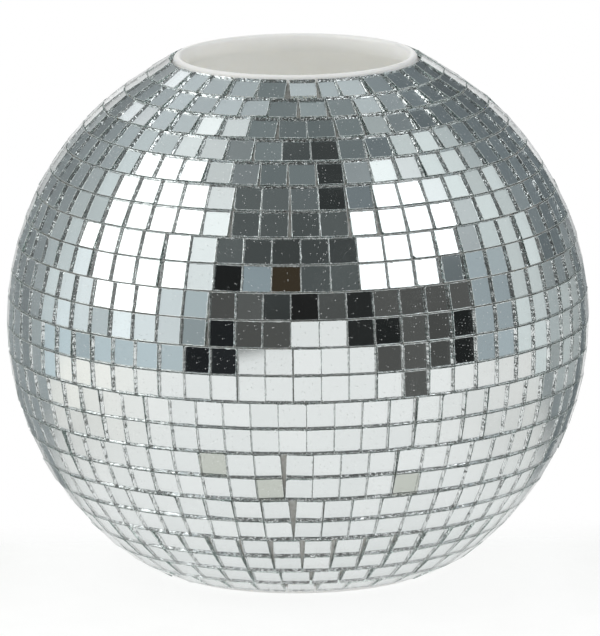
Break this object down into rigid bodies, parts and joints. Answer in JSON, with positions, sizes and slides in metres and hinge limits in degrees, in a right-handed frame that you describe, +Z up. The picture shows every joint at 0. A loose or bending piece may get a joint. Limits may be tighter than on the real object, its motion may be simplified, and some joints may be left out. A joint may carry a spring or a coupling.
{
  "type": "mirror ball vase",
  "caption": "Ball-shaped vase, open at the top and flat at the base, covered outside with rows of square glass mirror tiles on backing strips.",
  "frame": {"origin": "middle of the underside of the base", "axes": "+Z up through the mouth along the ball's axis, -Y towards the front"},
  "size_m": [0.2204, 0.2204, 0.1973],
  "materials": {
    "vessel_white": "smooth white with a soft satin shine",
    "backing_weave": "thin grey-brown woven backing with dried glue",
    "mirror_tile": "clear glass silvered on the back, with snapped edges"
  },
  "bodies": {
    "root": {"vessel": "vessel_white", "backing_strip_01": "backing_weave", "backing_strip_02": "backing_weave", "backing_strip_03": "backing_weave", "backing_strip_04": "backing_weave", "backing_strip_05": "backing_weave", "backing_strip_06": "backing_weave", "backing_strip_07": "backing_weave", "backing_strip_08": "backing_weave", "backing_strip_09": "backing_weave", "backing_strip_10": "backing_weave", "backing_strip_11": "backing_weave", "backing_strip_12": "backing_weave", "backing_strip_13": "backing_weave", "backing_strip_14": "backing_weave", "backing_strip_15": "backing_weave", "tile_row_01": "mirror_tile", "tile_row_02": "mirror_tile", "tile_row_03": "mirror_tile", "tile_row_04": "mirror_tile", "tile_row_05": "mirror_tile", "tile_row_06": "mirror_tile", "tile_row_07": "mirror_tile", "tile_row_08": "mirror_tile", "tile_row_09": "mirror_tile", "tile_row_10": "mirror_tile", "tile_row_11": "mirror_tile", "tile_row_12": "mirror_tile", "tile_row_13": "mirror_tile", "tile_row_14": "mirror_tile", "tile_row_15": "mirror_tile", "tile_row_16": "mirror_tile", "tile_row_17": "mirror_tile", "tile_row_18": "mirror_tile", "tile_row_19": "mirror_tile", "tile_row_20": "mirror_tile", "tile_row_21": "mirror_tile", "tile_row_22": "mirror_tile", "tile_row_23": "mirror_tile"}
  },
  "joints": []
}
